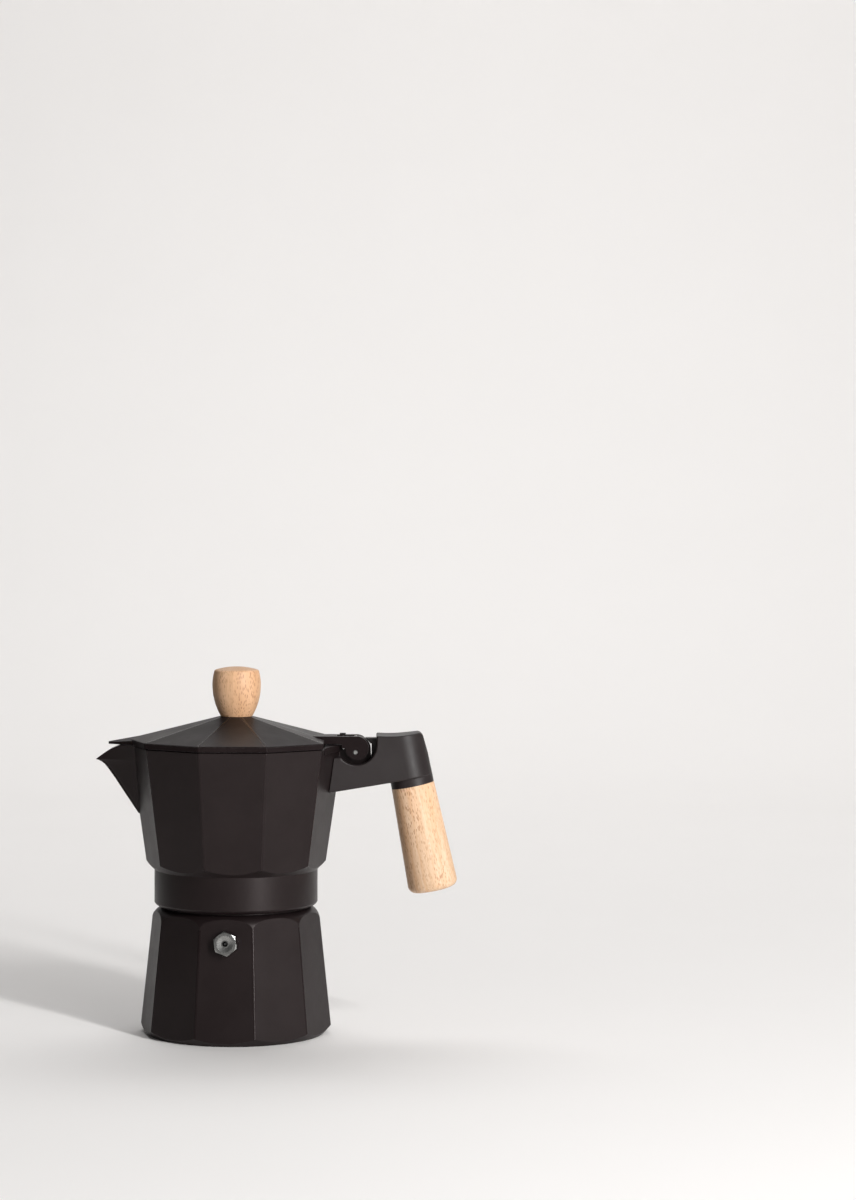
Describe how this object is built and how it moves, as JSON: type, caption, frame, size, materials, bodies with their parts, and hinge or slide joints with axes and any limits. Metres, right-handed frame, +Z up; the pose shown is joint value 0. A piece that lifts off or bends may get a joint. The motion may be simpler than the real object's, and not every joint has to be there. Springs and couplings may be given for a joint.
{
  "type": "moka pot",
  "caption": "Stovetop moka pot: faceted boiler, screw-on faceted upper vessel with V spout and round collar, hinged lid, turned wooden knob and leaning wooden grip on a moulded bracket.",
  "frame": {"origin": "centre of the boiler's flat underside, on the surface the pot stands on", "axes": "+Z up along the boiler's axis, +X from the axis toward the handle, -X toward the spout, -Y toward the safety valve"},
  "size_m": [0.1583, 0.0902, 0.1604],
  "materials": {
    "base_boiler": "cast, satin near-black powder coat",
    "valve_body": "turned",
    "valve_washer": "fibre",
    "valve_plunger": "turned",
    "valve_spring": "turned",
    "valve_seat": "turned",
    "funnel": "spun",
    "funnel_strainer": "spun",
    "gasket": "matt silicone",
    "filter_plate": "spun",
    "riser_column": "as cast",
    "collector": "cast, satin near-black powder coat",
    "lid": "cast, satin near-black powder coat",
    "lid_knob": "satin varnish",
    "hinge_pin": "turned",
    "handle_bracket": "satin moulded",
    "handle_grip": "satin varnish",
    "knob_insert": "turned",
    "knob_screw": "turned",
    "knob_washer": "turned",
    "bracket_screw": "turned",
    "grip_insert": "turned",
    "grip_screw": "turned",
    "grip_washer": "turned"
  },
  "bodies": {
    "base": {"base_boiler": "base_boiler", "valve_body": "valve_body", "valve_washer": "valve_washer", "valve_seat": "valve_seat", "valve_spring": "valve_spring", "funnel": "funnel", "funnel_strainer": "funnel_strainer"},
    "valve_plunger": {"valve_plunger": "valve_plunger"},
    "filter_stack": {"gasket": "gasket", "filter_plate": "filter_plate"},
    "collector": {"collector": "collector", "riser_column": "riser_column", "handle_bracket": "handle_bracket", "handle_grip": "handle_grip", "grip_insert": "grip_insert", "grip_screw": "grip_screw", "grip_washer": "grip_washer", "bracket_screw": "bracket_screw"},
    "lid": {"lid": "lid", "lid_knob": "lid_knob", "knob_insert": "knob_insert", "knob_screw": "knob_screw", "knob_washer": "knob_washer", "hinge_pin": "hinge_pin"}
  },
  "joints": [
    {"name": "thread_rise", "type": "slide", "parent": "base", "child": "filter_stack", "axis": [0, 0, 1], "range_m": [0, 0.006]},
    {"name": "unscrew", "type": "hinge", "parent": "filter_stack", "child": "collector", "pos_m": [0, 0, 0.0605], "axis": [0, 0, 1], "range_deg": [0, 720]},
    {"name": "lid_hinge", "type": "hinge", "parent": "collector", "child": "lid", "pos_m": [0.0521, 0, 0.1234], "axis": [0, 1, 0], "range_deg": [0, 100]},
    {"name": "valve_lift", "type": "slide", "parent": "base", "child": "valve_plunger", "axis": [-0.0798, -0.9917, 0.1011], "range_m": [0, 0.0015], "stiffness_N_per_m": 1700, "springref_m": -0.002, "deforming": ["valve_spring"]}
  ],
  "couplings": [
    {"joint": "thread_rise", "follows": "unscrew", "m_per_rad": 0.00047746}
  ]
}
